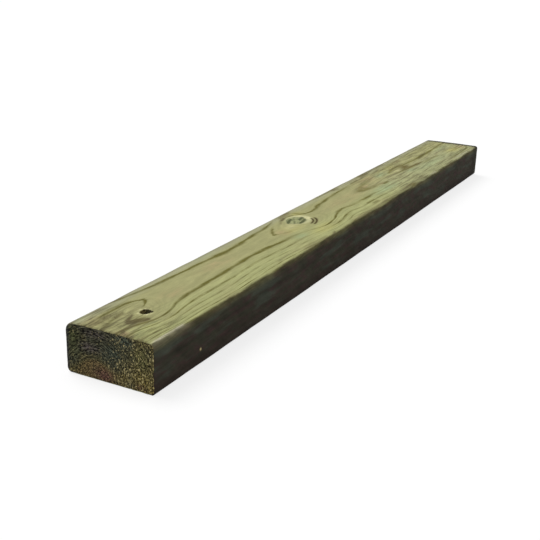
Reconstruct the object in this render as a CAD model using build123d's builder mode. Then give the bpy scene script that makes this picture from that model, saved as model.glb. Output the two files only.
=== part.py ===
from build123d import *
import os

# A sawn and treated softwood stud, one piece, lying on a wide face.
# The length runs along X, the width along Y and the thickness along Z.
# The origin is on the floor, under the middle of the stud. Sizes are in millimetres.

# The stock
length = 900.0
width = 90.0
thickness = 47.0

# The upper face bulges where the wood has shrunk less, above the heart of the tree
crown_rise = 0.5

# Each long corner is eased by its own amount, as the planer and wear left it
upper_left_arris = 9.0
upper_right_arris = 4.0
lower_left_arris = 4.5
lower_right_arris = 3.8

# A dead knot near one end has dropped its core and left a round pit in the upper face
knot_from_end = 50.5
knot_off_centre = -0.5
knot_mouth_radius = 5.2
knot_floor_radius = 3.4
knot_pit_depth = 4.5
knot_lean_across = 15.0
knot_lean_along = 18.0

half_width = width / 2
shoulder_height = thickness - crown_rise

# The branch that made the knot leaned out from the heart and towards the knot's own end, as its pit does
knot_mouth = Vector(knot_from_end - length / 2, knot_off_centre, thickness)
branch_direction = Vector(0, 0, 1).rotate(Axis.X, knot_lean_across).rotate(Axis.Y, -knot_lean_along)
branch = Plane(origin=knot_mouth, z_dir=branch_direction)
branch_lengthwise = Plane(origin=knot_mouth, x_dir=branch.x_dir, z_dir=-branch.y_dir)

# The pit's wall carries on above the face by its own mouth radius, so the leaning cut is open all round
pit_overrun = knot_mouth_radius
wall_slope = (knot_mouth_radius - knot_floor_radius) / knot_pit_depth
overrun_radius = knot_mouth_radius + wall_slope * pit_overrun

with BuildPart() as stud:
    # The section: flat underside and edges, a crowned upper face and four eased corners
    with BuildSketch(Plane.YZ.offset(-length / 2)) as section:
        with BuildLine() as outline:
            underside_and_edges = Polyline(
                (half_width, shoulder_height),
                (half_width, 0),
                (-half_width, 0),
                (-half_width, shoulder_height),
            )
            crowned_face = ThreePointArc(
                underside_and_edges @ 1,
                (0, thickness),
                underside_and_edges @ 0,
            )
        make_face()
        for corner, arris in (
            ((half_width, shoulder_height), upper_left_arris),
            ((-half_width, shoulder_height), upper_right_arris),
            ((half_width, 0), lower_left_arris),
            ((-half_width, 0), lower_right_arris),
        ):
            fillet(section.vertices().sort_by_distance(corner)[0], radius=arris)
    extrude(amount=length)

    # The pit, turned about the branch's own axis
    with BuildSketch(branch_lengthwise) as pit_profile:
        with BuildLine() as pit_outline:
            pit_wall = Polyline(
                (0, pit_overrun),
                (overrun_radius, pit_overrun),
                (knot_floor_radius, -knot_pit_depth),
                (0, -knot_pit_depth),
                close=True,
            )
        make_face()
        inner_corner = pit_profile.vertices().sort_by_distance((knot_floor_radius, -knot_pit_depth))[0]
        fillet(inner_corner, radius=knot_floor_radius / 2)
    revolve(axis=Axis(knot_mouth, branch_direction), mode=Mode.SUBTRACT)

stud.part.label = "timber_stud"

os.makedirs("parts", exist_ok=True)
export_step(stud.part, "parts/timber_stud.step")
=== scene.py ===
"""Dresses the timber stud: its worn and weathered surface, its grain, and a plain studio stage round it.

Positions are in metres, in the stud's own frame: X along it, Y across it and Z up from the floor.
The patterns of the wood are worked out in millimetres.
"""

import math
from typing import NamedTuple

import bpy
import numpy as np
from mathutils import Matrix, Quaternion, Vector


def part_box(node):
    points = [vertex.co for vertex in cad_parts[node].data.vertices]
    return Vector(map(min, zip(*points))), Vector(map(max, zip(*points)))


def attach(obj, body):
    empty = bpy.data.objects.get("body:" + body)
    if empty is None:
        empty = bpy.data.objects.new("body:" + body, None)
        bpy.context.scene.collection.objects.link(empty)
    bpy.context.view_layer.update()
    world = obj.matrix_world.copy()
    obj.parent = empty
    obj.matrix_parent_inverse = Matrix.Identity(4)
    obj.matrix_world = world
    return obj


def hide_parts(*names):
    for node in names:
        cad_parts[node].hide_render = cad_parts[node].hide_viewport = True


bl_info = {
    "name": "Timber stud",
    "version": (1, 0, 0),
    "blender": (4, 5, 0),
    "location": "3D View > Sidebar > Stud",
    "description": "Builds a treated timber stud with its knots, grain and sawn ends",
    "category": "Mesh",
}

NODE = "timber_stud"
MM = 0.001

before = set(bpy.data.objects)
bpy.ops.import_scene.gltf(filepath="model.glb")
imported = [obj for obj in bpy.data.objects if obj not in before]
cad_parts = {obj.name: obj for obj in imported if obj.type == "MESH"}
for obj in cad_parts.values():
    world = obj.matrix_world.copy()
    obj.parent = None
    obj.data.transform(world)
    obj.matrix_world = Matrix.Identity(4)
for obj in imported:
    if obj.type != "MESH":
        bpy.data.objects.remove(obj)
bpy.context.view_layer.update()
LOWEST, HIGHEST = (np.array(corner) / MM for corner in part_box(NODE))
_, WIDTH, THICKNESS = HIGHEST - LOWEST
NEAR_X, FAR_X = LOWEST[0], HIGHEST[0]
HALF_WIDTH = WIDTH / 2

# The section and the pit, as in the solid, in millimetres
ARRISES = {"upper_left": 9.0, "upper_right": 4.0, "lower_left": 4.5, "lower_right": 3.8}
CROWN_RISE = 0.5
PIT_DEPTH = 4.5
PIT_FLOOR_SHARE = 0.65

# How finely the skin is divided, and how far it may stand out of the solid's box
STEPS_ACROSS = 150
STEPS_UP = 60
STEPS_ALONG = 186
FINE_STEPS = 4000
SLACK = 0.1

# The relief's noise repeats after this many cells
LATTICE_SIDE = 64

# How far the tree had grown from its heart at the upper face, and at the first dark line of its rings
FACE_AGE = 49.2
LINE_AGE = 52.8

# The rings on either side of that line, as shares of the ring width, and how fast they narrow outside
INNER_RING = 1.4
OUTER_RING = 1.78
SHRINK = 0.18

# How softly the rings bend into a branch
KNOT_BLEND = 12.0

# The heart's line: each bend is a bell (place, reach, height), and each step an S curve (from, to, height)
HEART_ACROSS = 11.0
ACROSS_BENDS = ((-450.0, 60.0, 5.0), (-300.0, 75.0, -1.1), (-180.0, 40.0, -1.8), (-45.0, 20.0, -2.0))
ACROSS_STEPS = ((-200.0, -60.0, -5.0), (-15.0, 10.0, -1.6), (100.0, 250.0, 4.5), (380.0, 450.0, -10.0))
DEPTH_BENDS = ((-225.0, 60.0, 1.2), (-250.0, 110.0, 0.45), (-30.0, 38.0, 1.5))
DEPTH_STEPS = ((-365.0, -425.0, -1.6), (35.0, 140.0, -2.0), (120.0, 220.0, -2.2), (395.0, 455.0, 4.0))

# A dent in the rings behind the sound knot, by its place and reach along and across
DENT_PLACE = (-60.0, 24.0)
DENT_REACH = (28.0, 18.0)
DENT_DEPTH = 8.0

# A small pale chip on the right edge, by its place along and up, and one on the near end, across and up
EDGE_CHIP = (-381.5, 15.3)
END_CHIP = (-43.8, 32.0)
CHIP_REACH = 1.1

# Where the dark stain of the edges begins: it wanders, has flecks, and is notched at places along the stud
STAIN_WANDER = 3.6
STAIN_FLECKS = 4.2
NOTCHES = (-312.0, -243.0, 40.0, 150.0, 192.0, 249.0, 357.0)
NOTCH_DEPTH = 1.7
NOTCH_REACH = 13.0

# Two dark crescents at one side of the sound knot: their distances and half widths from a centre of their
# own and the side that they lie on, all as shares of the knot's radius, along and across
CRESCENTS = ((1.36, 0.11), (1.72, 0.125))
CRESCENT_CENTRE = (-0.1, -0.44)
CRESCENT_SIDE = (0.54, -0.84)

# Directions from the middle of the fallen knot: its pointed side, its bright rim and its left side
PIT_POINT = (0.5, -0.87)
PIT_BRIGHT = (0.6, 0.8)
PIT_LEFT = (-0.85, -0.5)

# How far below the upper face its own marks end, and where they reach their full strength
MARKS_END = 8.0
MARKS_FULL = 5.0

# How strongly the dry wood mirrors
GLOSS = 0.07

# The stage: the floor as it lights the stud, the floor as it is seen with its glow, and the lamp
FLOOR_SHADE = 0.8
SEEN_SHADE = 0.25
SEEN_GLOW = 0.77
LAMP_ANGLE = 35.0
LAMP_TOWARDS = (-0.15, -0.55, -1.0)
FILM_WIDTH = 36.0
CLEAR_SIGHTS = ("Is Camera Ray", "Is Glossy Ray", "Is Transmission Ray")


# Nodes


class Wire:
    """One output of a material's nodes. Arithmetic on wires and numbers adds Math nodes."""

    def __init__(self, recipe, socket):
        self.recipe = recipe
        self.socket = socket

    def maths(self, operation, *others):
        """Adds a Math node that works on this value and the others."""
        values = dict(enumerate((self, *others)))
        return self.recipe.add("ShaderNodeMath", {"operation": operation}, values)

    def __add__(self, other):
        return self.maths("ADD", other)

    def __sub__(self, other):
        return self.maths("SUBTRACT", other)

    def __rsub__(self, other):
        return self.recipe.add("ShaderNodeMath", {"operation": "SUBTRACT"}, {0: other, 1: self})

    def __mul__(self, other):
        return self.maths("MULTIPLY", other)

    def __truediv__(self, other):
        return self.maths("DIVIDE", other)

    def __neg__(self):
        return self * -1.0

    __radd__ = __add__
    __rmul__ = __mul__


class Recipe:
    """The nodes of a material or of the sky, added one after another."""

    def __init__(self, owner):
        owner.use_nodes = True
        self.tree = owner.node_tree
        self.tree.nodes.clear()

    def add(self, kind, settings=None, values=None, out=0):
        """Adds a node: its settings first, then the values or wires of its inputs, by name or number."""
        node = self.tree.nodes.new(kind)
        for name, value in (settings or {}).items():
            setattr(node, name, value)
        for key, value in (values or {}).items():
            if isinstance(value, Wire):
                self.tree.links.new(value.socket, node.inputs[key])
            else:
                node.inputs[key].default_value = value
        return Wire(self, node.outputs[out] if node.outputs else None)

    def blend(self, share, first, second, kind="MIX"):
        """Colour between the first and the second, by share."""
        first, second = (each if isinstance(each, Wire) else (*each, 1.0) for each in (first, second))
        settings = {"data_type": "RGBA", "blend_type": kind, "clamp_factor": True}
        return self.add("ShaderNodeMix", settings, {0: share, 6: first, 7: second}, out=2)

    def shaded(self, colour, brightness):
        """The colour times a brightness."""
        return self.blend(1.0, colour, self.vector(brightness, brightness, brightness), "MULTIPLY")

    def noise(self, x, y, z, detail=3.0, roughness=0.5):
        """Soft noise from 0 to 1, about 0.5 on average, its grains about one unit of x, y and z wide."""
        values = {"Vector": self.vector(x, y, z), "Scale": 1.0, "Detail": detail, "Roughness": roughness}
        return self.add("ShaderNodeTexNoise", {"noise_dimensions": "3D"}, values)

    def vector(self, x, y, z):
        """Three numbers or wires as one vector."""
        return self.add("ShaderNodeCombineXYZ", {}, {0: x, 1: y, 2: z})

    def weighed(self, vector, weights):
        """The sum of a vector's three parts, each times its weight."""
        return self.add("ShaderNodeVectorMath", {"operation": "DOT_PRODUCT"}, {0: vector, 1: weights}, out=1)

    def place(self):
        """The point on the stud, in millimetres, as three wires."""
        spot = self.add("ShaderNodeTexCoord", out=3)
        return [self.add("ShaderNodeSeparateXYZ", {}, {0: spot}, out=axis) / MM for axis in range(3)]

    def seen(self):
        """1 where the eye looks straight at a thing, at its mirror image or through a clear one, else 0."""
        camera, glossy, clear = (self.add("ShaderNodeLightPath", out=out) for out in CLEAR_SIGHTS)
        return greater(greater(camera, glossy), clear)


# Maths for numpy arrays and wires alike, so that the relief and the colours share one formula


def root(value):
    return value.maths("SQRT") if isinstance(value, Wire) else np.sqrt(value)


def sine(value):
    return value.maths("SINE") if isinstance(value, Wire) else np.sin(value)


def power_of_e(value):
    return value.maths("EXPONENT") if isinstance(value, Wire) else np.exp(value)


def logarithm(value):
    return value.maths("LOGARITHM", math.e) if isinstance(value, Wire) else np.log(value)


def whole(value):
    return value.maths("FLOOR") if isinstance(value, Wire) else np.floor(value)


def lesser(first, second):
    return first.maths("MINIMUM", second) if isinstance(first, Wire) else np.minimum(first, second)


def greater(first, second):
    return first.maths("MAXIMUM", second) if isinstance(first, Wire) else np.maximum(first, second)


def held(value):
    """The value, kept from 0 to 1."""
    return greater(lesser(value, 1.0), 0.0)


def hypotenuse(first, second):
    return root(first * first + second * second)


def facing(first, second, direction):
    """How much a point lies in a direction from the middle: about the cosine of the angle between them."""
    return (first * direction[0] + second * direction[1]) / hypotenuse(first, second)


def bell(value):
    """1 at zero, falling off smoothly on both sides: e to the minus square."""
    return power_of_e(value * value * -1.0)


def rise(value, start, end):
    """0 before start, 1 after end, and an even S curve between: 3 t squared less 2 t cubed."""
    share = held((value - start) / (end - start))
    return share * share * (3.0 - share * 2.0)


def fall(value, start, end):
    """1 before start, 0 after end."""
    return 1.0 - rise(value, start, end)


def rounded_lesser(first, second, reach):
    """The lesser of two values, rounded off where they differ by less than reach.

    It takes away a sixth of reach times the cube of how close they are.
    """
    if isinstance(first, Wire):
        return first.maths("SMOOTH_MIN", second, reach)
    close = np.maximum(reach - np.abs(first - second), 0.0) / reach
    return np.minimum(first, second) - close**3 * reach / 6.0


# How the tree grew


class Knot(NamedTuple):
    """A branch that the trunk grew round, by where it meets the upper face, in millimetres."""

    along: float
    across: float
    radius: float
    stretch: float
    slope_along: float
    slope_across: float
    swell: float
    swell_along: float
    reach_along: float
    reach_across: float

    def offset(self, x, y, z):
        """Distance along and across from the branch's leaning axis, as shares of the knot's radius."""
        below = z - THICKNESS
        off_along = (x - self.along - below * self.slope_along) / (self.radius * self.stretch)
        off_across = (y - self.across - below * self.slope_across) / self.radius
        return off_along, off_across

    def share(self, x, y, z):
        """How far out a point is from the branch's leaning axis: 0 on the axis, 1 at the knot's rim."""
        return hypotenuse(*self.offset(x, y, z))

    def push(self, x, y):
        """How much the rings round the branch are pushed outwards: the swell times a bell each way."""
        along = bell((x - self.swell_along) / self.reach_along)
        return self.swell * along * bell((y - self.across) / self.reach_across)


DEAD_KNOT = Knot(
    along=-399.5,
    across=-0.5,
    radius=5.2,
    stretch=1.05,
    slope_along=0.32,
    slope_across=-0.27,
    swell=6.0,
    swell_along=-399.5,
    reach_along=25.0,
    reach_across=30.0,
)
LIVE_KNOT = Knot(
    along=-85.3,
    across=13.8,
    radius=11.0,
    stretch=1.35,
    slope_along=0.5,
    slope_across=0.24,
    swell=9.0,
    swell_along=-77.0,
    reach_along=34.0,
    reach_across=45.0,
)


def bent_along(x, start, bends, steps):
    """A value along the stud: its start, plus a bell at each bend and an S curve at each step."""
    bent = sum(height * bell((x - place) / reach) for place, reach, height in bends)
    stepped = sum(height * rise(x, begin, end) for begin, end, height in steps)
    return start + bent + stepped


def heart_across(x):
    """Where the heart of the tree runs, across the stud."""
    return bent_along(x, HEART_ACROSS, ACROSS_BENDS, ACROSS_STEPS)


def heart_depth(x):
    """How far the heart lies below the upper face."""
    return bent_along(x, FACE_AGE, DEPTH_BENDS, DEPTH_STEPS)


def ring_age(x, y, z):
    """Distance grown outwards from the heart, in millimetres.

    It is the distance to the heart's line, with three fine waves, more in a bell-shaped dent and
    less in a bell-shaped push beside each branch. Within a branch it is the distance from the
    branch's axis, scaled so that the two meet at its rim.
    """
    age = hypotenuse(y - heart_across(x), z - THICKNESS + heart_depth(x))
    age = age + 0.2 * sine(x / 31.0 + y / 9.0) + 0.15 * sine(x / 17.0 - y / 6.0 + z / 8.0)
    age = age + 0.12 * sine(x / 6.3 + y / 2.1 - z / 3.0)
    dent = bell((x - DENT_PLACE[0]) / DENT_REACH[0]) * bell((y - DENT_PLACE[1]) / DENT_REACH[1])
    age = age + DENT_DEPTH * dent
    for knot in (DEAD_KNOT, LIVE_KNOT):
        age = age - knot.push(x, y)
        age = rounded_lesser(age, FACE_AGE * knot.share(x, y, z), KNOT_BLEND)
    return age


def ring_count(age, ring):
    """How many rings a point is out from the first dark line: below 0 inside it, 0 at the line.

    Inside, the outermost ring is wider than the rest, which are one ring width each. Outside, each
    ring is narrower than the one before by the same share, so the count is a logarithm of the
    distance.
    """
    past = age - LINE_AGE
    first = INNER_RING * ring
    inside = greater(lesser(past, 0.0), -first) / first + lesser(past + first, 0.0) / ring
    room = greater(1.0 - greater(past, 0.0) * (SHRINK / (OUTER_RING * ring)), 0.02)
    return inside - logarithm(room) / SHRINK


def late_wood(count):
    """The dark late wood of each ring: it builds up slowly and ends sharply at the ring's edge."""
    through = count - whole(count)
    return greater(rise(through, 0.68, 0.96), fall(through, 0.0, 0.16))


def ring_strength(count, x, y):
    """How dark each ring is: the line at the edge of the heart's broad band is the darkest."""
    line = 0.22 + 0.68 * bell(count / 0.6) + 0.34 * bell((count + 1.0) / 0.45)
    beyond = rise(count, 0.3, 1.0) * (0.22 + 0.14 * sine(whole(count + 0.35) * 1.9))
    inner = 0.9 * fall(count, -0.8, -0.4) * (fall(x, 30.0, 80.0) + 0.8 * rise(x, 110.0, 150.0))
    outer = 0.85 * rise(count, -0.6, -0.2) * rise(x, 60.0, 105.0)
    beside_knot = 0.95 * rise(x, -118.0, -100.0) * fall(x, -8.0, 30.0) * rise(y, 21.5, 26.0)
    yellowed = (0.6 * bell((x + 122.0) / 30.0) + 0.5 * bell((x - 16.0) / 20.0)) * fall(y, -4.0, 4.0)
    return (line + beyond) * (1.0 - inner - outer) * (1.0 - beside_knot - yellowed)


# Marks on the faces


class Stain(NamedTuple):
    """A soft patch of colour on a face, by its middle and how far it reaches, in millimetres.

    Its two directions are along and across on the upper face, and across and up on an end.
    """

    first: float
    second: float
    reach_first: float
    reach_second: float
    strength: float

    def share(self, first, second):
        away_first = (first - self.first) / self.reach_first
        away_second = (second - self.second) / self.reach_second
        return self.strength * power_of_e(-(away_first * away_first + away_second * away_second))


class Stroke(NamedTuple):
    """A streak on the upper face, from start to end and bowed to its left, in millimetres."""

    start_along: float
    start_across: float
    end_along: float
    end_across: float
    bow: float
    thickness: float
    strength: float

    def share(self, recipe, spot):
        """How strong the streak is at a spot: e to the minus of off squared plus way to the eighth.

        Way runs from -1 at the start to 1 at the end. Off is the distance from the bowed line,
        as a share of the thickness.
        """
        half_along = (self.end_along - self.start_along) / 2
        half_across = (self.end_across - self.start_across) / 2
        middle_along, middle_across = self.start_along + half_along, self.start_across + half_across
        half = math.hypot(half_along, half_across)
        ahead = (half_along / half**2, half_across / half**2)
        aside = (-half_across / half, half_along / half)
        start, axis = (-part[0] * middle_along - part[1] * middle_across for part in (ahead, aside))
        way = recipe.weighed(spot, (*ahead, start))
        way = way * way
        off = (recipe.weighed(spot, (*aside, axis - self.bow)) + way * self.bow) / self.thickness
        fourth = way * way
        return power_of_e(-(off * off + fourth * fourth)) * self.strength


STAINS = {
    "yellow": (
        Stain(-88.0, -26.0, 24.0, 7.0, 0.8),
        Stain(-118.0, 4.0, 22.0, 9.0, 0.5),
        Stain(404.0, -18.0, 24.0, 9.0, 0.8),
        Stain(-64.0, 26.0, 10.0, 8.0, 0.6),
        Stain(225.0, 19.0, 12.0, 3.0, 0.5),
    ),
    "pink": (
        Stain(-352.0, 4.0, 16.0, 8.0, 0.45),
        Stain(-262.0, 12.0, 26.0, 8.0, 0.45),
        Stain(-136.0, 5.0, 9.0, 8.0, 0.5),
        Stain(-440.0, 26.0, 12.0, 10.0, 0.3),
        Stain(30.0, 3.0, 50.0, 10.0, 0.3),
        Stain(142.0, 20.0, 28.0, 9.0, 0.5),
        Stain(104.0, 6.0, 20.0, 7.0, 0.45),
        Stain(134.0, -5.0, 8.0, 4.0, 0.6),
        Stain(262.0, 24.0, 16.0, 3.0, 0.4),
        Stain(430.0, -22.0, 9.0, 7.0, 0.7),
        Stain(-447.0, -14.0, 5.0, 7.0, 0.8),
    ),
    "blue": (
        Stain(110.0, -18.0, 40.0, 9.0, 0.8),
        Stain(176.0, 14.0, 18.0, 7.0, 0.7),
        Stain(-135.0, -17.0, 12.0, 6.0, 0.6),
        Stain(228.0, -12.0, 14.0, 4.0, 0.6),
        Stain(290.0, -20.0, 60.0, 9.0, 0.5),
        Stain(400.0, 0.0, 40.0, 7.0, 0.4),
        Stain(-245.0, 37.0, 20.0, 4.0, 0.4),
        Stain(-440.0, 36.0, 12.0, 4.0, 0.3),
    ),
    "brown": (
        Stain(241.0, 3.0, 13.0, 8.0, 0.95),
        Stain(262.0, -4.8, 22.0, 3.0, 0.7),
        Stain(-416.0, -7.0, 8.0, 6.0, 0.5),
        Stain(-436.0, 17.0, 12.0, 6.0, 0.2),
        Stain(-430.0, -32.0, 18.0, 8.0, 0.2),
        Stain(160.0, 36.0, 16.0, 5.0, 0.6),
        Stain(222.0, 38.0, 24.0, 4.0, 0.5),
        Stain(66.0, 36.0, 12.0, 4.0, 0.4),
        Stain(-74.0, 37.0, 14.0, 5.0, 0.5),
        Stain(155.0, -42.0, 14.0, 4.0, 0.8),
    ),
    "cream": (
        Stain(215.0, 2.1, 5.5, 2.8, 0.45),
        Stain(-112.0, 8.0, 12.0, 6.0, 0.3),
    ),
}
END_STAINS = {
    "end_violet": (Stain(21.0, 28.0, 11.0, 4.0, 0.7), Stain(14.0, 41.0, 12.0, 4.0, 0.6)),
    "end_blue": (
        Stain(-17.0, 41.0, 9.0, 6.0, 0.8),
        Stain(-3.0, 27.0, 9.0, 7.0, 0.6),
        Stain(-20.0, 4.0, 5.0, 3.0, 0.5),
    ),
    "end_green": (Stain(37.0, 32.0, 7.0, 13.0, 0.6), Stain(-33.0, 30.0, 8.0, 12.0, 0.5)),
    "heart_red": (Stain(6.0, 6.0, 10.0, 6.0, 0.75), Stain(-31.0, 4.0, 5.0, 3.0, 0.5)),
}
LATE_STROKES = (
    Stroke(-432.0, 24.5, -386.0, 24.0, 1.4, 2.1, 0.9),
    Stroke(-391.0, 24.4, -390.0, 8.0, 12.0, 2.4, 1.15),
    Stroke(-450.0, 7.5, -411.0, 15.2, 0.0, 1.7, 0.5),
    Stroke(-149.0, 9.0, -126.0, 22.0, 1.0, 1.9, 0.85),
    Stroke(-150.0, 8.3, -142.0, 8.3, 0.0, 2.2, 0.6),
    Stroke(-100.0, 27.3, -67.0, 24.8, 3.0, 1.5, 0.6),
    Stroke(-64.0, 31.0, -54.0, 16.0, 1.5, 2.6, 0.55),
    Stroke(-148.0, 8.8, -124.0, -1.2, -1.5, 1.6, 0.35),
    Stroke(190.0, 7.7, 254.0, 10.4, 3.4, 2.2, 0.9),
    Stroke(196.0, -2.0, 284.0, -7.5, 0.6, 2.2, 0.9),
    Stroke(283.0, -10.5, 346.0, -13.0, 0.0, 2.4, 0.6),
    Stroke(250.0, 9.4, 330.0, 6.7, -0.5, 2.2, 0.9),
    Stroke(305.0, 7.1, 372.0, 8.1, -0.6, 2.8, 1.0),
    Stroke(365.0, 7.6, 445.0, 11.2, 0.0, 2.0, 0.85),
    Stroke(206.0, 21.7, 250.0, 22.9, 0.8, 1.8, 0.5),
    Stroke(296.0, 23.2, 400.0, 21.6, 0.5, 1.4, 0.35),
    Stroke(300.0, 31.2, 420.0, 29.6, 0.0, 1.4, 0.4),
    Stroke(104.0, 27.8, 132.0, 29.8, 0.5, 1.7, 0.5),
    Stroke(338.0, -34.5, 418.0, -33.9, -1.5, 1.6, 0.7),
    Stroke(414.0, -34.4, 438.0, -28.0, -2.0, 1.8, 0.7),
    Stroke(350.0, -31.6, 390.0, -31.8, 0.0, 1.1, 0.3),
    Stroke(129.0, -8.7, 148.0, -8.2, 0.0, 2.3, 0.85),
    Stroke(74.0, 5.5, 99.0, -2.0, -1.5, 2.2, 0.5),
    Stroke(40.0, -15.8, 60.0, -16.2, 0.0, 2.0, 0.6),
    Stroke(29.0, -27.2, 52.0, -26.7, 0.0, 2.0, 0.6),
    Stroke(32.0, -33.2, 52.0, -33.2, 0.0, 2.0, 0.5),
    Stroke(-72.0, -33.2, -18.0, -27.2, 1.0, 1.5, 0.4),
)
DIRT_STROKES = (
    Stroke(-449.0, -10.0, -422.0, -9.3, 0.5, 2.0, 0.7),
    Stroke(-430.0, -2.0, -409.0, -12.0, 1.0, 3.6, 1.5),
    Stroke(-425.0, 0.0, -409.0, 5.5, 0.0, 2.0, 1.1),
    Stroke(-447.0, 22.5, -434.0, 23.5, 0.0, 1.6, 0.35),
    Stroke(-432.0, 20.5, -420.0, 21.5, 0.0, 1.8, 0.6),
    Stroke(-447.0, 10.0, -436.0, 10.5, 0.0, 2.0, 0.6),
    Stroke(-426.0, 13.0, -410.0, 14.5, 0.0, 3.0, 0.7),
    Stroke(-438.0, 29.0, -428.0, 29.0, 0.0, 1.8, 0.35),
    Stroke(-450.0, 20.0, -436.0, 19.0, 0.0, 2.2, 0.6),
    Stroke(-449.0, -16.0, -442.0, -9.0, 0.0, 2.4, 0.7),
    Stroke(-110.0, 20.8, -97.0, 27.5, 0.0, 1.7, 0.4),
    Stroke(-98.0, 26.4, -86.0, 28.4, 0.0, 1.7, 1.0),
    Stroke(-92.0, 31.8, -60.0, 34.8, 1.0, 3.5, 0.55),
    Stroke(-108.0, -44.2, -98.0, -41.2, 0.0, 1.6, 0.7),
    Stroke(-223.0, -36.0, -194.0, -33.5, 0.0, 1.5, 0.5),
    Stroke(57.0, 33.8, 75.0, 31.8, 0.0, 2.2, 0.5),
    Stroke(146.0, 33.8, 176.0, 31.8, 1.0, 3.5, 0.6),
    Stroke(200.0, 36.7, 242.0, 36.0, 0.0, 2.6, 0.5),
    Stroke(174.0, -13.2, 184.0, -25.2, 0.0, 3.0, 0.35),
    Stroke(120.0, -38.2, 204.0, -38.8, 0.0, 2.4, 0.55),
    Stroke(-60.0, -42.2, 150.0, -41.2, 0.0, 2.6, 0.5),
    Stroke(-172.0, -40.5, -118.0, -40.5, 0.0, 2.2, 0.4),
)
# Pale strips along the worn right corner of the upper face: bare wood, with a painted highlight where the
# rounded corner catches the light.
PALE_STROKES = (
    Stroke(-449.0, -42.0, -404.0, -42.8, 0.0, 1.6, 1.2),
    Stroke(222.0, -42.4, 246.0, -43.0, 0.0, 1.2, 0.6),
    Stroke(348.0, -40.7, 402.0, -41.8, 0.0, 1.5, 0.6),
    Stroke(412.0, -43.4, 430.0, -43.4, 0.0, 1.2, 0.5),
)
KNOT_STROKES = (
    Stroke(-101.0, 15.8, -84.0, 21.0, 0.4, 1.7, 1.5),
    Stroke(-84.0, 10.4, -70.0, 13.4, 0.0, 1.8, 1.3),
    Stroke(-95.0, 4.4, -76.0, 6.8, -0.8, 1.7, 1.3),
    Stroke(-99.0, 9.0, -91.0, 12.6, 0.0, 1.3, 0.8),
)


def total_share(stains, first, second):
    """The stains together, at most 1."""
    return held(sum(stain.share(first, second) for stain in stains))


def drawn_share(strokes, recipe, spot):
    """The strokes together, at most 1."""
    return held(sum(stroke.share(recipe, spot) for stroke in strokes))


# The skin


def crowded(low, high, steps, places):
    """Positions from low to high, closer together round each place (centre, reach, crowding).

    They are evenly spaced in the running total of 1 plus a bell at each place.
    """
    fine = np.linspace(low, high, FINE_STEPS + 1)
    density = 1.0 + sum(crowding * bell((fine - centre) / reach) for centre, reach, crowding in places)
    total = np.concatenate([[0.0], np.cumsum((density[1:] + density[:-1]) / 2)])
    return np.interp(np.linspace(0.0, total[-1], steps + 1), total, fine)


def lattice_noise(x, y, z, cell, seed):
    """Soft noise from 0 to 1: random numbers on a lattice, blended smoothly between its corners."""
    table = np.random.default_rng(seed).random((LATTICE_SIDE,) * 3)
    spots = [np.asarray(v / c, float) for v, c in zip(np.broadcast_arrays(x, y, z), cell)]
    corners = [np.floor(spot).astype(int) for spot in spots]
    shares = [spot - corner for spot, corner in zip(spots, corners)]
    shares = [share * share * (3.0 - 2.0 * share) for share in shares]
    total = 0.0
    for a in (0, 1):
        for b in (0, 1):
            for c in (0, 1):
                weight = 1.0
                for share, step in zip(shares, (a, b, c)):
                    weight = weight * (share if step else 1.0 - share)
                i, j, k = ((corner + step) % LATTICE_SIDE for corner, step in zip(corners, (a, b, c)))
                total = total + weight * table[i, j, k]
    return total


def corner_radius(x, y, z):
    """Each long corner's rounding, worn a little more in some places than in others.

    Each corner follows a line of the noise of its own, some cells away from the others.
    """
    upper = np.where(y > 0, ARRISES["upper_left"], ARRISES["upper_right"])
    lower = np.where(y > 0, ARRISES["lower_left"], ARRISES["lower_right"])
    radius = np.where(z > THICKNESS / 2, upper, lower)
    corner_y, corner_z = np.sign(y) * 9.0, np.sign(z - THICKNESS / 2) * 9.0
    wear = lattice_noise(x, corner_y, corner_z, cell=(26.0, 4.0, 4.0), seed=11)
    return radius * (0.92 + 0.16 * wear)


def rounded_section(x, y, z):
    """Rounds a rectangle's outline and crowns its upper side, and gives each point's outward direction.

    A point near a corner moves onto the circle that is tangent to both sides. The crown takes away
    its rise times the square of the distance from the middle, and less the lower down.
    """
    radius = corner_radius(x, y, z)
    inner_y = np.clip(y, radius - HALF_WIDTH, HALF_WIDTH - radius)
    inner_z = np.clip(z, radius, THICKNESS - radius)
    out_y, out_z = y - inner_y, z - inner_z
    reach = np.hypot(out_y, out_z)
    out_y, out_z = out_y / reach, out_z / reach
    y, z = inner_y + radius * out_y, inner_z + radius * out_z
    z = z - CROWN_RISE * (y / HALF_WIDTH) ** 2 * z / THICKNESS
    return y, z, out_y, out_z


def face_relief(x, y, z, upward, ring):
    """Height of the planed faces in millimetres, below zero.

    Late wood stands proud of early wood, slow waves and fine fibres are taken away, and the sound
    knot stands up inside a broken crack.
    """
    count = ring_count(ring_age(x, y, z), ring)
    late = late_wood(count) * ring_strength(count, x, y)
    waves = lattice_noise(x, y, z, cell=(60.0, 9.0, 9.0), seed=3)
    fibres = lattice_noise(x, y, z, cell=(14.0, 0.9, 0.9), seed=4)
    relief = 0.16 * (late - 1.0) - 0.22 * waves - 0.10 * fibres
    rim = LIVE_KNOT.share(x, y, z)
    gaps = rise(lattice_noise(x, y, z, cell=(5.0, 5.0, 5.0), seed=6), 0.3, 0.7)
    crack = bell((rim - 1.04) / 0.06) * gaps
    return relief - upward * (0.45 * crack - 0.2 * fall(rim, 0.7, 1.0))


def dead_knot_pit(x, y, z, upward):
    """Height of the dead knot's pit, below zero: a leaning bowl with a rough floor and a torn rim."""
    share = DEAD_KNOT.share(x, y, z)
    torn = 0.2 * (lattice_noise(x, y, z, cell=(1.6, 1.6, 1.6), seed=8) - 0.5)
    bowl = fall(share + torn, PIT_FLOOR_SHARE, 1.0)
    floor = 0.8 * lattice_noise(x, y, z, cell=(1.3, 1.3, 1.3), seed=9)
    return upward * (floor - PIT_DEPTH) * bowl


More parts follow.
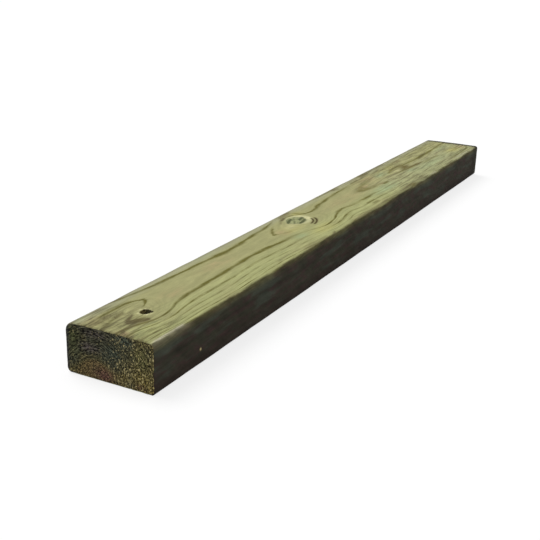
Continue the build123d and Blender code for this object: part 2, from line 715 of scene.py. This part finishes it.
def end_inset(x, y, z):
    """How far the skin draws in at each end's rim: a quarter circle whose radius varies round the rim."""
    from_end = np.minimum(x - NEAR_X, FAR_X - x)
    broken = 0.5 + 0.9 * lattice_noise(x, y, z, cell=(9.0, 3.5, 3.5), seed=21) ** 2
    return broken - np.sqrt(np.maximum(broken**2 - np.maximum(broken - from_end, 0.0) ** 2, 0.0))


def section_outline():
    """The points round a sharp section, y and z, clockwise from its upper left corner."""
    across = crowded(
        HALF_WIDTH,
        -HALF_WIDTH,
        STEPS_ACROSS,
        ((DEAD_KNOT.across, 6.0, 1.6), (HALF_WIDTH, 7.0, 0.8), (-HALF_WIDTH, 5.0, 1.2)),
    )
    up = crowded(THICKNESS, 0.0, STEPS_UP, ((THICKNESS, 6.0, 0.8), (0.0, 4.0, 0.6)))
    right, left = np.full(STEPS_UP, -HALF_WIDTH), np.full(STEPS_UP, HALF_WIDTH)
    upper, lower = np.full(STEPS_ACROSS, THICKNESS), np.zeros(STEPS_ACROSS)
    outline_y = np.concatenate([across[:-1], right, across[:0:-1], left])
    return outline_y, np.concatenate([upper, up[:-1], lower, up[:0:-1]])


def worn_sides(ring):
    """The four long faces as one grid of points, a station along the stud and then a point round it.

    Each point of the rounded section moves along its outward direction by the relief of the face,
    the pit and the inset of the ends.
    """
    places = (
        (NEAR_X, 5.0, 9.0),
        (NEAR_X, 60.0, 1.2),
        (DEAD_KNOT.along, 8.0, 9.0),
        (LIVE_KNOT.along, 18.0, 3.0),
        (FAR_X, 5.0, 9.0),
    )
    along = crowded(NEAR_X, FAR_X, STEPS_ALONG, places)
    outline_y, outline_z = section_outline()
    x, y = np.meshgrid(along, outline_y, indexing="ij")
    y, z, out_y, out_z = rounded_section(x, y, np.broadcast_to(outline_z, x.shape))
    upward = np.clip(out_z, 0.0, 1.0) ** 4
    shift = face_relief(x, y, z, upward, ring) + dead_knot_pit(x, y, z, upward) - end_inset(x, y, z)
    return np.stack([x, y + shift * out_y, z + shift * out_z], axis=-1)


def stud_mesh(ring, saw_depth):
    """The stud as one closed skin: its points, its four-sided faces, and 1 for each face of an end."""
    skin = worn_sides(ring)
    stations, around = skin.shape[:2]
    tube = np.arange(stations * around).reshape(stations, around)
    ahead = np.roll(tube, -1, axis=1)
    points, faces = [skin.reshape(-1, 3)], [four_sided(tube[:-1], ahead[:-1], ahead[1:], tube[1:])]
    first_free = stations * around
    for station, outward in ((0, -1.0), (stations - 1, 1.0)):
        grid, index = end_grid(skin[station], tube[station], first_free)
        first_free += (STEPS_ACROSS - 1) * (STEPS_UP - 1)
        grid[..., 0] -= outward * saw_depth * sawn_relief(grid, ring)
        points[0][tube[station]] = grid_rim(grid)
        points.append(grid[1:-1, 1:-1].reshape(-1, 3))
        quads = four_sided(index[:-1, :-1], index[1:, :-1], index[1:, 1:], index[:-1, 1:])
        faces.append(quads if outward > 0 else quads[:, ::-1])
    ends = np.repeat([0, 1], [len(faces[0]), len(faces[1]) + len(faces[2])])
    return np.concatenate(points), np.concatenate(faces), ends


def four_sided(*corners):
    """The faces between four grids of point numbers, one grid for each corner."""
    return np.stack(corners, axis=-1).reshape(-1, 4)


def end_grid(ring, ring_index, first_free):
    """Fills an end from its outline, and numbers its points.

    Each point is blended from the two points across from each other on either pair of sides, less
    the blend of the four corners.
    """
    a, b = STEPS_ACROSS, STEPS_UP
    closed = np.concatenate([ring, ring[:1]])
    top, right = closed[: a + 1], closed[a : a + b + 1]
    bottom, left = closed[a + b : 2 * a + b + 1][::-1], closed[2 * a + b :][::-1]
    u = np.linspace(0.0, 1.0, a + 1)[:, None, None]
    v = np.linspace(0.0, 1.0, b + 1)[None, :, None]
    sides = (1 - v) * top[:, None] + v * bottom[:, None] + (1 - u) * left[None] + u * right[None]
    upper, lower = (1 - u) * top[0] + u * top[-1], (1 - u) * bottom[0] + u * bottom[-1]
    index = np.zeros((a + 1, b + 1), int)
    index[1:-1, 1:-1] = first_free + np.arange((a - 1) * (b - 1)).reshape(a - 1, b - 1)
    closed_index = np.concatenate([ring_index, ring_index[:1]])
    index[:, 0], index[-1] = closed_index[: a + 1], closed_index[a : a + b + 1]
    index[:, -1] = closed_index[a + b : 2 * a + b + 1][::-1]
    index[0] = closed_index[2 * a + b :][::-1]
    return sides - (1 - v) * upper - v * lower, index


def grid_rim(grid):
    """The grid's outer points, in the order of the ring that it fills."""
    return np.concatenate([grid[:-1, 0], grid[-1, :-1], grid[:0:-1, -1], grid[0, :0:-1]])


def sawn_relief(grid, ring):
    """How far a sawn end is cut in, from 0 to 1: slanted saw ridges, torn fibres and softer early wood."""
    x, y, z = (grid[..., axis] for axis in range(3))
    wander = lattice_noise(x, y, z, cell=(9.0, 9.0, 9.0), seed=31)
    ridges = 0.5 + 0.5 * np.sin((z * 0.9 + y * 0.35) * 2.0 + 3.0 * wander)
    torn = lattice_noise(x, y, z, cell=(9.0, 1.3, 1.3), seed=32)
    tufts = lattice_noise(x, y, z, cell=(9.0, 2.8, 2.8), seed=33)
    late = late_wood(ring_count(ring_age(x, y, z), ring))
    return 0.12 * ridges + 0.62 * torn * tufts + 0.26 * (1.0 - late)


def lay_skin(name, points, faces, slots, materials):
    """Makes a smooth-shaded mesh object of points and four-sided faces."""
    mesh = bpy.data.meshes.new(name)
    mesh.vertices.add(len(points))
    mesh.vertices.foreach_set("co", points.astype(np.float32).ravel())
    mesh.loops.add(faces.size)
    mesh.loops.foreach_set("vertex_index", faces.astype(np.int32).ravel())
    mesh.polygons.add(len(faces))
    mesh.polygons.foreach_set("loop_start", np.arange(0, faces.size, faces.shape[1], dtype=np.int32))
    mesh.polygons.foreach_set("material_index", slots.astype(np.int32))
    mesh.polygons.foreach_set("use_smooth", np.ones(len(faces), bool))
    mesh.update(calc_edges=True)
    mesh.validate()
    for material in materials:
        mesh.materials.append(material)
    piece = bpy.data.objects.new(name, mesh)
    bpy.context.scene.collection.objects.link(piece)
    return piece


# Materials


def tint(red, green, blue):
    """A colour as it is seen on a screen, 0 to 255, written as the linear colour that a shader takes."""
    seen = np.array([red, green, blue]) / 255.0
    linear = np.where(seen <= 0.04045, seen / 12.92, ((seen + 0.055) / 1.055) ** 2.4)
    return tuple(float(part) for part in linear)


def swatch(name, description, red, green, blue):
    """A colour setting, its default given as it is seen on a screen."""
    return bpy.props.FloatVectorProperty(
        name=name,
        description=description,
        subtype="COLOR",
        size=3,
        min=0.0,
        max=1.0,
        default=tint(red, green, blue),
    )


def finish_surface(recipe, colour, roughness, height, strength, distance):
    """Joins colour, roughness and bump to a shader and the material's output."""
    bump = recipe.add("ShaderNodeBump", {}, {"Strength": strength, "Distance": distance, "Height": height})
    values = {"Base Color": colour, "Roughness": roughness, "Normal": bump, "Specular IOR Level": GLOSS}
    shader = recipe.add("ShaderNodeBsdfPrincipled", {}, values)
    recipe.add("ShaderNodeOutputMaterial", {}, {"Surface": shader})


class Grain(NamedTuple):
    """The place on the stud and the patterns that the colours of its planed faces share.

    Upper is 1 near the upper face and 0 below, age is the distance grown from the heart, and late
    is the late wood. The rest are noises, from long streaks to short flecks and broad patches.
    """

    x: Wire
    y: Wire
    z: Wire
    upper: Wire
    age: Wire
    late: Wire
    streaks: Wire
    fibres: Wire
    flecks: Wire
    mottle: Wire
    patches: Wire
    dirt: Wire


def long_grain(looks):
    """The planed faces: pale and ringed above and below, stained dark on the two edges."""
    material = bpy.data.materials.new("long_grain")
    recipe = Recipe(material)
    x, y, z = recipe.place()
    age = ring_age(x, y, z)
    count = ring_count(age, looks.ring_width / MM)
    torn = recipe.noise(x / 12.0, age * 0.7, z / 20.0, roughness=0.7)
    grain = Grain(
        x=x,
        y=y,
        z=z,
        upper=rise(z, THICKNESS - MARKS_END, THICKNESS - MARKS_FULL),
        age=age,
        late=late_wood(count + 0.12 * (torn - 0.5)) * ring_strength(count, x, y),
        streaks=recipe.noise(x / 90.0, age * 0.9, z / 40.0, detail=4.0, roughness=0.6),
        fibres=recipe.noise(x / 22.0, y * 1.7, z * 1.7, roughness=0.6),
        flecks=recipe.noise(x / 5.0, y * 1.1, z * 1.1, roughness=0.7),
        mottle=recipe.noise(x / 22.0, y / 5.0, z / 5.0, roughness=0.6),
        patches=recipe.noise(x / 60.0, y / 22.0, z / 22.0, detail=2.0),
        dirt=recipe.noise(x / 36.0, y / 2.7, z / 2.7, roughness=0.6),
    )
    face = face_colours(recipe, looks, grain)
    face = live_knot_colours(recipe, looks, grain, face)
    face = dead_knot_colours(recipe, looks, grain, face)
    face = weathered(recipe, looks, grain, face)
    side = edge_colours(recipe, looks, grain)

    boundary = stain_boundary(recipe, grain)
    colour = recipe.blend(rise(boundary, -2.8, 0.3) * 0.35, face, looks.dirt)
    colour = recipe.blend(rise(boundary, -1.3, 1.4), colour, side)
    worn_far = rise(x + 14.0 * (grain.dirt - 0.5), FAR_X - 14.0, FAR_X - 7.0)
    colour = recipe.blend(worn_far * 0.9, colour, looks.side)
    chip = bell(hypotenuse(x - EDGE_CHIP[0], z - EDGE_CHIP[1]) / CHIP_REACH) * fall(y, -44.0, -40.0)
    colour = recipe.blend(chip, colour, looks.end_cream)
    roughness = 0.7 + 0.25 * grain.fibres
    height = grain.fibres * 0.6 + grain.late * 0.4 + grain.flecks * 0.35
    finish_surface(recipe, colour, roughness, height, strength=0.5, distance=0.4 * MM)
    return material


def stain_boundary(recipe, grain):
    """How far past a long corner a point is, in millimetres: above 0 where the edges' dark stain is.

    It is measured on the section's diagonal and wanders, with notches and flecks, and more of the
    stain shows beside the left edge and underneath.
    """
    x, y, z = grain.x, grain.y, grain.z
    past_corner = lesser(THICKNESS - z, z) - (HALF_WIDTH - greater(y, -y))
    wander = (recipe.noise(x / 28.0, y / 30.0, z / 20.0, detail=2.0) - 0.5) * STAIN_WANDER
    notched = NOTCH_DEPTH * sum(bell((x - notch) / NOTCH_REACH) for notch in NOTCHES)
    limit = 1.3 * rise(x, -80.0, 60.0) - 0.4 * fall(x, -420.0, -375.0) - 0.5 + notched
    spread = 2.0 * rise(y, 30.0, 38.0) + 4.0 * fall(z, 5.0, 12.0)
    return past_corner - limit + wander + spread + (grain.flecks - 0.5) * STAIN_FLECKS


def face_colours(recipe, looks, grain):
    """The two wide faces: pale wood with its stains and rings."""
    x, y = grain.x, grain.y
    face = recipe.blend(rise(y, 24.0, 35.0) * 0.85, looks.pale, looks.grey)
    face = recipe.blend(fall(y, -26.0, 4.0) * rise(grain.patches, 0.25, 0.55), face, looks.green)
    face = recipe.blend(0.4 * rise(x, 60.0, 200.0) * fall(y, -6.0, 6.0), face, looks.grey)
    textures = {"yellow": grain.patches, "pink": grain.mottle, "blue": grain.streaks}
    for name, texture in textures.items():
        share = total_share(STAINS[name], x, y) * grain.upper * rise(texture, 0.25, 0.6)
        face = recipe.blend(share, face, getattr(looks, name))
    broken = recipe.noise(x / 22.0, grain.age * 0.45, grain.z / 40.0, roughness=0.65) - 0.5
    unevenness = 1.8 + 4.2 * fall(y, -26.0, -14.0)
    return recipe.blend(grain.late * greater(1.0 + unevenness * broken, 0.0), face, looks.late)


def weathered(recipe, looks, grain, face):
    """Streaks and smudges on the upper face, pale strips of bare wood with a painted highlight along its
    worn right corner, and the light and dark of its fibres.
    """
    x, y = grain.x, grain.y
    near, far = fall(x, -430.0, -365.0), rise(x, 30.0, 170.0)
    ragged_x = x + 9.0 * (grain.mottle - 0.5)
    ragged_y = y + 2.4 * (grain.mottle - 0.5) + (2.0 + 2.5 * near) * (grain.flecks - 0.5)
    spot = recipe.vector(ragged_x, ragged_y, 1.0)
    broken_up = grain.upper * (0.3 + 1.4 * grain.dirt)
    drawn = ((KNOT_STROKES, looks.knot_dark), (LATE_STROKES, looks.late), (DIRT_STROKES, looks.dirt))
    for strokes, colour in drawn:
        face = recipe.blend(drawn_share(strokes, recipe, spot) * broken_up, face, colour)
    weather = 0.15 + near + far
    face = recipe.blend(rise(grain.dirt, 0.46, 0.66) * weather * 0.55, face, looks.dirt)
    face = recipe.blend(total_share(STAINS["brown"], x, y) * broken_up, face, looks.brown)
    lilac = rise(y, 34.0, 38.5) * rise(grain.mottle, 0.25, 0.55) * 0.5
    face = recipe.blend(lilac, face, looks.lilac)
    stained_rim = fall(x + 6.0 * (grain.mottle - 0.5), -449.0, -446.0) * rise(grain.dirt, 0.35, 0.6)
    face = recipe.blend(stained_rim * 0.6 * grain.upper, face, looks.dirt)
    face = recipe.blend(total_share(STAINS["cream"], x, y) * grain.upper, face, looks.knot_pale)
    # Painted highlight on bare wood along the worn right corner.
    face = recipe.blend(drawn_share(PALE_STROKES, recipe, spot) * broken_up, face, looks.worn_highlight)

    contrast = 1.1 + 0.75 * (near + far)
    fine = recipe.noise(x / 24.0, grain.age * 2.2, grain.z / 20.0, roughness=0.7)
    texture = 0.36 * grain.streaks + 0.26 * grain.fibres + 0.3 * grain.mottle + 0.26 * grain.flecks - 0.59
    texture = texture + (0.15 + 0.7 * fall(y, -24.0, -8.0) + 0.7 * near) * (fine - 0.5)
    edges = rise(y, 20.0, 32.0) + fall(y, -34.0, -24.0)
    light = (1.0 - 0.09 * rise(x, 60.0, 190.0) * edges) * (1.0 - 0.06 * near)
    return recipe.shaded(face, (1.0 + texture * contrast) * light)


def edge_colours(recipe, looks, grain):
    """The two narrow edges: stained nearly black, with an olive tail where they meet the upper face, darker
    towards the foot, and with painted shade round the middle of their length and low on their far half.
    """
    x, y, z = grain.x, grain.y, grain.z
    blots = recipe.noise(x / 60.0, y / 40.0, z / 11.0, roughness=0.6)
    upright = recipe.noise((x + z) / 13.0, y / 16.0, z / 14.0, roughness=0.6)
    side = recipe.blend(rise(grain.mottle, 0.4, 0.65), looks.side, looks.side_warm)
    side = recipe.blend(rise(blots, 0.48, 0.62), side, looks.side_cool)
    high = bell((lesser(z + 10.0 * (blots - 0.5), THICKNESS) - THICKNESS) / 5.2)
    side = recipe.blend(high * (0.2 + 0.9 * grain.streaks), side, looks.side_high)
    # Painted highlight on bare wood on the edges just below the upper face, near the near end.
    side = recipe.blend(bell((z - THICKNESS) / 4.0) * fall(x, -410.0, -385.0) * 0.25, side, looks.worn_highlight)
    # Darker towards the foot of the edges.
    side = recipe.blend(fall(z - 14.0 * grain.patches, -6.0, 12.0), side, looks.side_low)
    seam = 0.2 * bell((z - 29.5 + 3.0 * (grain.patches - 0.5)) / 2.2) * fall(x, -180.0, -110.0)
    texture = 0.6 * grain.streaks + 0.8 * grain.mottle + 0.4 * grain.fibres + upright + 0.8 * blots - 0.75
    # Darker towards the far end, and painted shade low on the far half of the edge, against the light that
    # the floor throws up there.
    far_dark_and_foot_shade = 0.45 * rise(x, 412.0, 440.0) + 0.12 * rise(x, 80.0, 220.0) * fall(z, 6.0, 20.0)
    # Painted shade round the middle of the edge's length, to take back the sheen that the lamp puts there.
    middle = 0.1 * bell((x - 20.0) / 130.0)
    return recipe.shaded(side, greater(texture, 0.3) * (1.0 - middle) * (1.0 - seam - far_dark_and_foot_shade))


def live_knot_colours(recipe, looks, grain, face):
    """The sound knot: a mottled core, a pale collar round it and two dark crescents at one side."""
    along, across = LIVE_KNOT.offset(grain.x, grain.y, grain.z)
    share = hypotenuse(along, across)
    ragged = share + 0.22 * (grain.flecks - 0.5)
    around = hypotenuse(along - 0.2, across + 0.1) + 0.3 * (grain.flecks - 0.5)
    blots = recipe.noise(grain.x / 5.0, grain.y / 3.0, grain.z / 5.0, detail=2.0, roughness=0.6)
    ringed = 0.5 + 0.5 * sine(share * 12.0 + 6.0 * blots)
    core = recipe.blend(rise(blots + 0.1 * ringed, 0.48, 0.72) * 0.6, looks.knot_core, looks.knot_dark)
    bright = rise(blots, 0.35, 0.6) * (0.3 + 0.7 * rise(along, 0.2, 1.1))
    collar = recipe.blend(bright * 0.9, looks.collar, looks.knot_pale)
    ahead = 0.5 + 0.4 * rise(along, -0.9, 0.5)
    face = recipe.blend(fall(around, 1.2, 1.5) * grain.upper * ahead, face, collar)
    rim = bell((ragged - 1.03) / 0.1) * rise(grain.mottle, 0.35, 0.6) * 0.3
    face = recipe.blend(rim * grain.upper, face, looks.knot_dark)
    face = recipe.blend(fall(ragged, 0.9, 1.08) * grain.upper, face, core)
    along, across = along - CRESCENT_CENTRE[0], across - CRESCENT_CENTRE[1]
    wavy = hypotenuse(along, across) + 0.07 * (grain.mottle - 0.5)
    crescents = sum(bell((wavy - distance) / half_width) for distance, half_width in CRESCENTS)
    crescents = crescents * rise(facing(along, across, CRESCENT_SIDE), 0.77, 0.9)
    return recipe.blend(crescents * grain.upper, face, looks.late_dark)


def dead_knot_colours(recipe, looks, grain, face):
    """The fallen knot: a dark pit, with painted shade on its floor and painted light on its brown walls, and
    torn cream flecks at two sides of its rim.
    """
    along, across = DEAD_KNOT.offset(grain.x, grain.y, grain.z)
    share = hypotenuse(along, across)
    point = rise(facing(along, across, PIT_POINT), 0.9, 1.0)
    lit = facing(along, across, PIT_BRIGHT)
    torn = share + 0.9 * (grain.flecks - 0.5)
    left = rise(facing(along, across, PIT_LEFT), -0.2, 0.8)
    rim = fall(torn, 1.25, 1.7) * rise(grain.flecks, 0.4, 0.54) * (0.05 + 0.6 * lit * lit + 0.6 * left)
    face = recipe.blend(rim * (1.0 - 0.8 * point) * grain.upper, face, looks.knot_pale)
    # Painted light: the brown walls are lighter towards the near and left sides of the pit, where the light
    # falls in.
    brown = rise(grain.flecks - 0.15 * along + 0.2 * across, 0.42, 0.62)
    pit = recipe.blend(brown, looks.pit_dark, looks.pit_lit_wall)
    inside = fall(share + 0.5 * (grain.flecks - 0.5) + 0.12 * left - 0.3 * point - 0.12 * along, 0.88, 1.02)
    return recipe.blend(inside * grain.upper, face, pit)


def sawn_grain(looks):
    """The sawn ends: dark, with rings round the heart and many pale torn fibres, their tips given a painted
    highlight.
    """
    material = bpy.data.materials.new("sawn_grain")
    recipe = Recipe(material)
    x, y, z = recipe.place()
    age = ring_age(x, y, z)
    late = late_wood(ring_count(age, looks.ring_width / MM))
    turn = (y - heart_across(x)).maths("ARCTAN2", z - THICKNESS + heart_depth(x))
    round_heart = recipe.noise(x, age, turn * 11.0, roughness=0.65)
    slanted = recipe.noise(x, (z * 0.87 - y * 0.5) * 0.55, (z * 0.5 + y * 0.87) * 1.2, roughness=0.65)
    to_right = fall(y, -16.0, 10.0)
    grit = round_heart + (slanted - round_heart) * to_right
    tips = recipe.noise(x, y * 0.56 + 40.0, z * 0.52, detail=2.0, roughness=0.6)
    broad = recipe.noise(x / 20.0, y / 12.0, z / 12.0, detail=2.0)
    low = fall(z, 4.0, 30.0)

    golden = held(0.5 * fall(y, -44.0, 8.0) + low * 0.35 + broad - 0.6)
    colour = recipe.blend(golden, looks.end_dark, looks.end_gold)
    dome = fall(age + 5.0 * broad, 19.0, 23.0) * 0.65
    colour = recipe.blend(dome * rise(grit, 0.25, 0.6), colour, looks.heart_brown)
    for name, stains in END_STAINS.items():
        share = total_share(stains, y, z) * (0.4 + 1.2 * broad)
        colour = recipe.blend(share, colour, getattr(looks, name))
    colour = recipe.shaded(colour, (2.4 * rise(grit, 0.35, 0.66) - 0.12) * (1.28 - 0.7 * late))
    # Painted highlight: pale torn fibre tips, lit as by a raking light, more and brighter towards the right.
    lit = rise(tips + 0.04 * to_right + 0.03 * low, 0.63, 0.7)
    colour = recipe.blend(lit * (0.35 + 0.35 * to_right), colour, looks.end_cream)
    rim = lesser(HALF_WIDTH - y, lesser(z, THICKNESS - z))
    colour = recipe.blend(fall(HALF_WIDTH - y, 1.5, 5.0) * 0.6, colour, looks.end_rim)
    colour = recipe.blend(fall(rim, 0.3, 2.5) * 0.6, colour, looks.side_low)
    chip = bell(hypotenuse(y - END_CHIP[0], z - END_CHIP[1]) / CHIP_REACH) * fall(x, 0.0, 1.0)
    colour = recipe.blend(chip, colour, looks.end_cream)
    finish_surface(recipe, colour, 0.9, grit + tips + late * 0.4, strength=0.9, distance=0.7 * MM)
    return material


# The add-on


class StudSettings(bpy.types.PropertyGroup):
    """The stud's sizes and colours that a user would change."""

    ring_width: bpy.props.FloatProperty(
        name="Ring width",
        description="How much the tree grew outwards in a year",
        default=0.00344,
        min=0.001,
        unit="LENGTH",
    )
    saw_depth: bpy.props.FloatProperty(
        name="Saw depth",
        description="How deep the saw tore the ends",
        default=0.00046,
        min=0.0,
        max=0.002,
        unit="LENGTH",
    )
    pale: swatch("Pale wood", "Upper face between the rings", 162, 160, 113)
    green: swatch("Green wood", "Where the preservative took best", 168, 170, 118)
    grey: swatch("Grey wood", "Weathered strip beside the left edge", 164, 164, 130)
    dirt: swatch("Dirt", "Streaks on the upper face, near its ends", 100, 92, 64)
    late: swatch("Late wood", "Dark line of each ring", 102, 98, 46)
    late_dark: swatch("Collar line", "Darkest lines, beside the sound knot", 66, 52, 24)
    brown: swatch("Brown stain", "Smudges on the upper face", 106, 97, 56)
    pink: swatch("Pink stain", "Warm patches", 172, 148, 112)
    blue: swatch("Blue stain", "Cool patches", 150, 168, 128)
    yellow: swatch("Yellow stain", "Patches that took the least stain", 186, 180, 108)
    lilac: swatch("Lilac strip", "Weathered left corner", 122, 114, 100)
    worn_highlight: swatch("Worn corner, highlight", "Bare wood along a worn corner, with painted highlight", 186, 182, 156)
    side: swatch("Edge stain", "Narrow edges", 54, 53, 42)
    side_warm: swatch("Edge stain, warm", "Brown patches of the edges", 58, 46, 42)
    side_cool: swatch("Edge stain, cool", "Grey-green patches of the edges", 57, 60, 51)
    side_high: swatch("Edge stain, upper", "Olive tail below the upper face", 104, 98, 60)
    side_low: swatch("Edge, darker foot", "Near-black foot of the edges", 48, 40, 34)
    end_dark: swatch("End, dark", "Stained end grain", 60, 60, 46)
    end_gold: swatch("End, golden", "End grain that took less stain", 112, 98, 52)
    end_violet: swatch("End, violet", "Grey-purple patches of the end", 70, 62, 62)
    end_blue: swatch("End, blue", "Blue-green patches of the end", 58, 66, 58)
    end_green: swatch("End, green", "Green patches of the end", 62, 66, 38)
    end_rim: swatch("End, rim", "Blue-grey strip beside the left edge", 50, 52, 54)
    end_cream: swatch("End, torn fibres", "Pale tips of torn fibres, with painted highlight", 214, 198, 142)
    heart_brown: swatch("Heart", "Wood round the heart", 100, 83, 54)
    heart_red: swatch("Heart, red", "Red patch beside the heart", 90, 62, 58)
    knot_core: swatch("Knot, core", "Sound knot's pale mottling", 160, 164, 118)
    knot_dark: swatch("Knot, dark", "Sound knot's dark mottling", 82, 88, 58)
    knot_pale: swatch("Knot, cream", "Cream wood beside a knot", 214, 209, 160)
    collar: swatch("Knot, collar", "Wood that grew round the sound knot", 190, 190, 144)
    pit_dark: swatch("Pit, dark", "Shaded floor of the fallen knot", 34, 32, 18)
    pit_lit_wall: swatch("Pit, lit walls", "Walls of the fallen knot, painted lighter where light falls", 112, 100, 62)


class StageSettings(bpy.types.PropertyGroup):
    """The floor, the light and the camera."""

    floor_size: bpy.props.FloatProperty(
        name="Floor size",
        description="Side of the square floor",
        default=30.0,
        min=1.0,
        unit="LENGTH",
    )
    sky_strength: bpy.props.FloatProperty(
        name="Sky strength",
        description="Brightness of the even light from all round",
        default=0.55,
        min=0.0,
    )
    lamp_strength: bpy.props.FloatProperty(
        name="Lamp strength",
        description="Brightness of the soft lamp",
        default=1.7,
        min=0.0,
    )
    lens: bpy.props.FloatProperty(
        name="Focal length",
        description="Focal length in millimetres on a film 36 mm wide",
        default=60.634,
        min=10.0,
    )
    camera_place: bpy.props.FloatVectorProperty(
        name="Camera",
        description="Where the camera stands",
        default=(-0.98497, -0.42595, 0.34501),
        subtype="TRANSLATION",
        unit="LENGTH",
    )
    camera_aim: bpy.props.FloatVectorProperty(
        name="Aim",
        description="The point on the floor that the camera looks at",
        default=(-0.13473, 0.01964, 0.0),
        subtype="TRANSLATION",
        unit="LENGTH",
    )
    camera_roll: bpy.props.FloatProperty(
        name="Roll",
        description="Turn of the camera about its own axis",
        default=math.radians(1.618),
        subtype="ANGLE",
    )


class STUD_OT_saw_timber(bpy.types.Operator):
    """Builds the stud's skin, with its worn corners, its pit and its sawn ends, and its two materials"""

    bl_idname = "stud.saw_timber"
    bl_label = "Saw the timber"

    def execute(self, context):
        looks = context.scene.stud_settings
        points, faces, slots = stud_mesh(looks.ring_width / MM, looks.saw_depth / MM)
        if (points < LOWEST - SLACK).any() or (points > HIGHEST + SLACK).any():
            raise RuntimeError("The skin reaches outside the stud")
        piece = lay_skin("sawn_stud", points * MM, faces, slots, [long_grain(looks), sawn_grain(looks)])
        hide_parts(NODE)
        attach(piece, "root")
        return {"FINISHED"}


def stage_floor(size):
    """A level floor: pale, and shown white to the eye save where the stud shades it."""
    material = bpy.data.materials.new("pale_floor")
    recipe = Recipe(material)
    matt, soft = (
        recipe.add("ShaderNodeBsdfDiffuse", {}, {"Color": (shade, shade, shade, 1.0)})
        for shade in (FLOOR_SHADE, SEEN_SHADE)
    )
    glow = recipe.add("ShaderNodeEmission", {}, {"Color": (1.0, 1.0, 1.0, 1.0), "Strength": SEEN_GLOW})
    shown = recipe.add("ShaderNodeAddShader", {}, {0: soft, 1: glow})
    shader = recipe.add("ShaderNodeMixShader", {}, {0: recipe.seen(), 1: matt, 2: shown})
    recipe.add("ShaderNodeOutputMaterial", {}, {"Surface": shader})
    half = size / 2
    corners = np.array([[-half, -half, 0.0], [half, -half, 0.0], [half, half, 0.0], [-half, half, 0.0]])
    floor = lay_skin("floor", corners, np.array([[0, 1, 2, 3]]), np.zeros(1), [material])


def studio_light(sky_strength, lamp_strength):
    """Even light from all round and one soft lamp high up, behind and to the left."""
    world = bpy.data.worlds.new("studio")
    bpy.context.scene.world = world
    recipe = Recipe(world)
    strength = sky_strength + (1.0 - sky_strength) * recipe.seen()
    sky = recipe.add("ShaderNodeBackground", {}, {"Color": (1.0, 1.0, 1.0, 1.0), "Strength": strength})
    recipe.add("ShaderNodeOutputWorld", {}, {"Surface": sky})
    lamp = bpy.data.lights.new("soft_lamp", "SUN")
    lamp.energy = lamp_strength
    lamp.angle = math.radians(LAMP_ANGLE)
    sun = bpy.data.objects.new("soft_lamp", lamp)
    sun.rotation_mode = "QUATERNION"
    sun.rotation_quaternion = Vector(LAMP_TOWARDS).to_track_quat("-Z", "Y")
    bpy.context.scene.collection.objects.link(sun)


def photograph_camera(stage):
    """The camera in front of the near end, looking along the stud from a little above it."""
    data = bpy.data.cameras.new("camera")
    data.sensor_width = FILM_WIDTH
    data.lens = stage.lens
    camera = bpy.data.objects.new("camera", data)
    sight = Vector(stage.camera_aim) - Vector(stage.camera_place)
    camera.location = stage.camera_place
    camera.rotation_mode = "QUATERNION"
    level = sight.to_track_quat("-Z", "Y")
    camera.rotation_quaternion = level @ Quaternion((0.0, 0.0, 1.0), stage.camera_roll)
    bpy.context.scene.collection.objects.link(camera)
    bpy.context.scene.camera = camera
    bpy.context.scene.view_settings.view_transform = "Standard"


class STUD_OT_set_stage(bpy.types.Operator):
    """Lays the floor, lights the studio and sets the camera"""

    bl_idname = "stud.set_stage"
    bl_label = "Set the stage"

    def execute(self, context):
        stage = context.scene.stud_stage
        if stage.camera_place[2] <= 0.0:
            raise RuntimeError("The camera is below the floor")
        stage_floor(stage.floor_size)
        studio_light(stage.sky_strength, stage.lamp_strength)
        photograph_camera(stage)
        return {"FINISHED"}


class STUD_PT_panel(bpy.types.Panel):
    """Lists the sizes and colours, and the two steps that use them"""

    bl_label = "Timber stud"
    bl_idname = "STUD_PT_panel"
    bl_space_type = "VIEW_3D"
    bl_region_type = "UI"
    bl_category = "Stud"

    def draw(self, context):
        scene = context.scene
        groups = (
            (scene.stud_settings, STUD_OT_saw_timber),
            (scene.stud_stage, STUD_OT_set_stage),
        )
        for settings, operator in groups:
            column = self.layout.column()
            for name in settings.__annotations__:
                column.prop(settings, name)
            column.operator(operator.bl_idname)


CLASSES = (StudSettings, StageSettings, STUD_OT_saw_timber, STUD_OT_set_stage, STUD_PT_panel)


def register():
    for each in CLASSES:
        bpy.utils.register_class(each)
    bpy.types.Scene.stud_settings = bpy.props.PointerProperty(type=StudSettings)
    bpy.types.Scene.stud_stage = bpy.props.PointerProperty(type=StageSettings)


def unregister():
    del bpy.types.Scene.stud_stage
    del bpy.types.Scene.stud_settings
    for each in reversed(CLASSES):
        bpy.utils.unregister_class(each)


def main():
    """Builds the stud and its stage."""
    register()
    bpy.ops.stud.saw_timber()
    bpy.ops.stud.set_stage()


if __name__ == "__main__":
    main()
